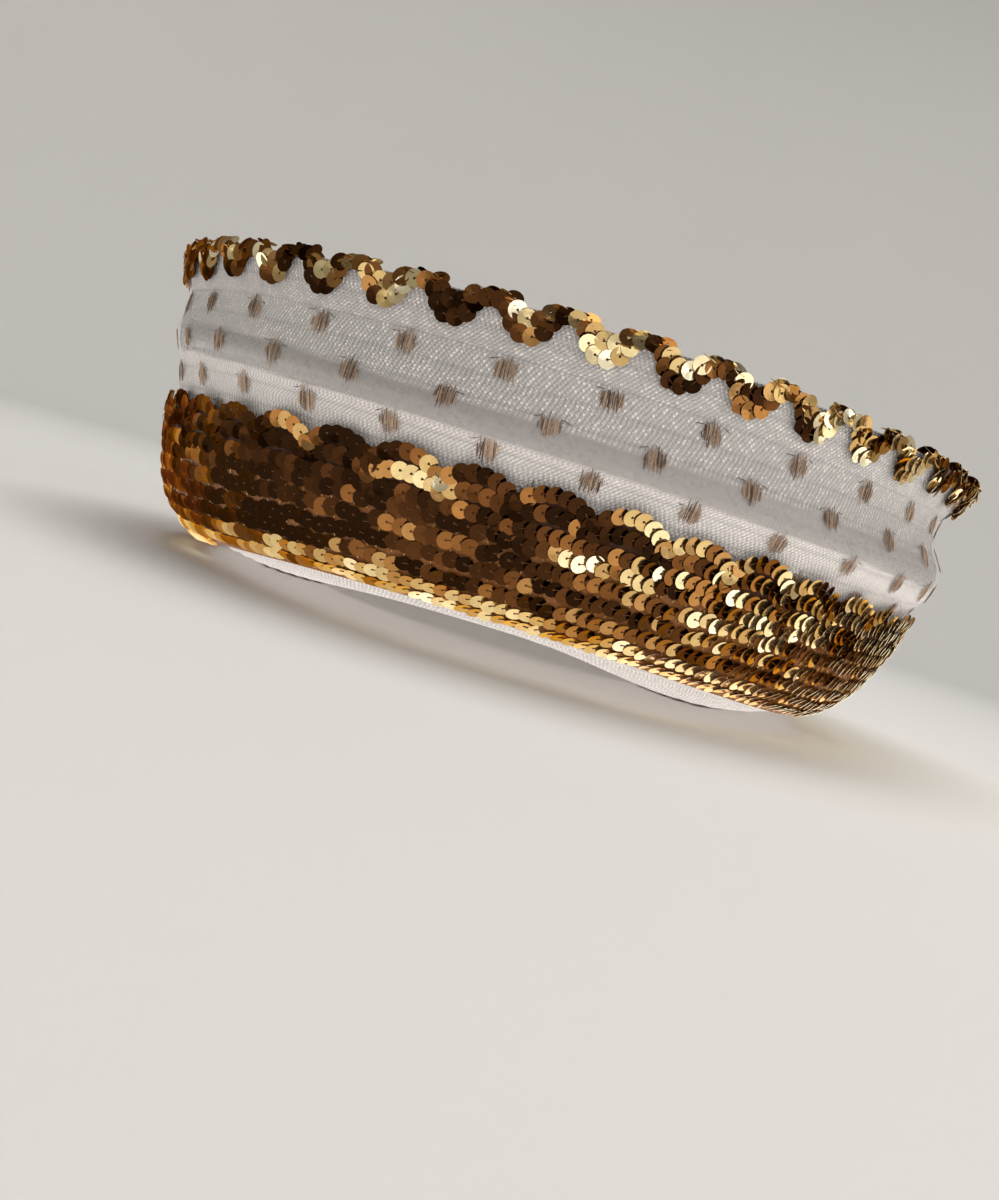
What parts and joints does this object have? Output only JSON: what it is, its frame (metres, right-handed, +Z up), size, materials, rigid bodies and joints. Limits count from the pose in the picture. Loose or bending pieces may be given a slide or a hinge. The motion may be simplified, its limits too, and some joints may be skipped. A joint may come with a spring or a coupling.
{
  "type": "church hat",
  "caption": "Wide upturned church hat of white braid under dotted net, with a gold sequin band and sequin trims at the band and rim.",
  "frame": {"origin": "middle of the hat's length and width, on the surface that the hat rests on", "axes": "+X towards the back of the hat, +Y towards the wearer's right, +Z up"},
  "size_m": [0.4426, 0.4362, 0.1506],
  "materials": {
    "white_braid": "white woven braid sewn in rings, satin sheen",
    "crown_braid": "white woven braid, plain",
    "white_net": "fine white net, sheer",
    "gold_thread": "bronze metallic thread, woven dots",
    "gold_sequins": "metallised film sequins, mirror-like gold and bronze",
    "gold_trim_sequins": "metallised film sequins, mirror-like gold and bronze",
    "gold_rim_sequins": "metallised film sequins, mirror-like gold and bronze",
    "brown_thread": "dark brown sewing thread and backing"
  },
  "bodies": {
    "root": {"brim": "white_braid", "crown": "crown_braid", "net_sleeve": "white_net", "sequin_band": "gold_sequins", "band_trim": "gold_trim_sequins", "rim_trim": "gold_rim_sequins"}
  },
  "joints": []
}
